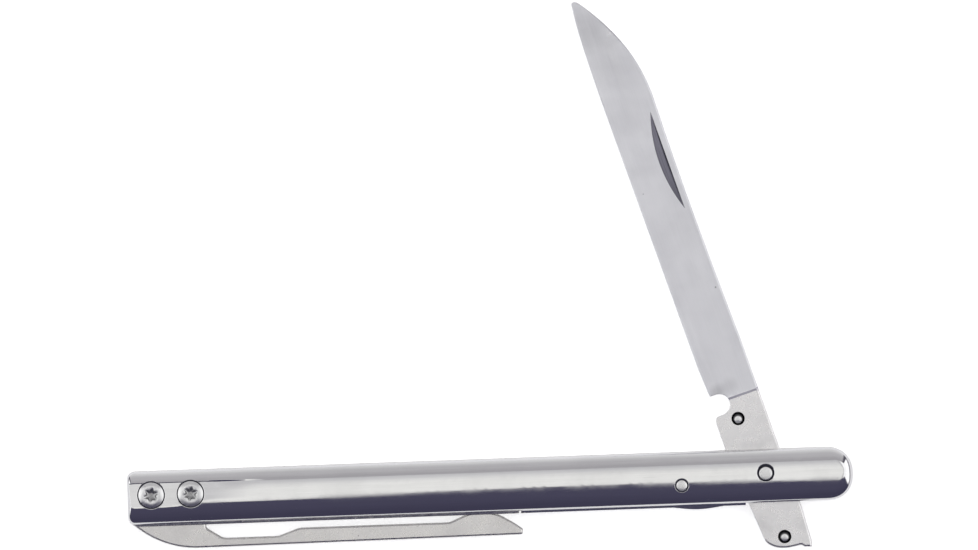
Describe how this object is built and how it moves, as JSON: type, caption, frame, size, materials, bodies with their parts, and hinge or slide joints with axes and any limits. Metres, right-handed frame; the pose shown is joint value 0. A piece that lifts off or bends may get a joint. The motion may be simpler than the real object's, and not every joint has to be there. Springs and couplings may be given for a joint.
{
  "type": "folding knife",
  "caption": "Slim all-steel folding pocket knife with pressed pillow-shaped handle shells, a lever tail behind the pivot, a liner lock arm and a flat plate pocket clip, shown half open",
  "frame": {"origin": "on the rear shell's crown, half way along the handle and on the handle's centre line", "axes": "+X along the handle towards the pivot end, +Y across it towards the side that the blade opens from, +Z from the rear shell up to the front shell"},
  "size_m": [0.1222, 0.0932, 0.0074],
  "materials": {
    "polished_steel": "polished, with faint scratches along the handle",
    "satin_steel": "tumbled satin",
    "brushed_steel": "fine brushing along the blade, tang satin",
    "spring_steel": "hardened spring steel, smooth",
    "bearing_steel": "mirror polished ball",
    "bronze": "phosphor bronze sheet"
  },
  "bodies": {
    "handle": {"front_shell": "polished_steel", "rear_shell": "polished_steel", "front_liner": "satin_steel", "rear_liner": "satin_steel", "sleeve_outer": "satin_steel", "sleeve_inner": "satin_steel", "front_screw_outer": "satin_steel", "front_screw_inner": "satin_steel", "rear_screw_outer": "satin_steel", "rear_screw_inner": "satin_steel", "pivot_pin": "satin_steel", "pivot_washer_rear": "bronze", "pivot_washer_front": "bronze", "stop_pin": "satin_steel", "pocket_clip": "satin_steel"},
    "blade": {"blade": "brushed_steel", "blade_detent_ball": "bearing_steel", "tail_detent_ball": "bearing_steel"},
    "lock_arm": {"lock_arm": "spring_steel"}
  },
  "joints": [
    {"name": "blade_pivot", "type": "hinge", "parent": "handle", "child": "blade", "pos_m": [0.04635, 0.00043, 0.0037], "axis": [0, 0, 1], "range_deg": [-106.5, 68]},
    {"name": "lock_arm_flex", "type": "hinge", "parent": "handle", "child": "lock_arm", "pos_m": [0.005, -0.0042, 0.00515], "axis": [0, 1, 0], "range_deg": [0, 1.5], "stiffness_Nm_per_rad": 0.23}
  ]
}
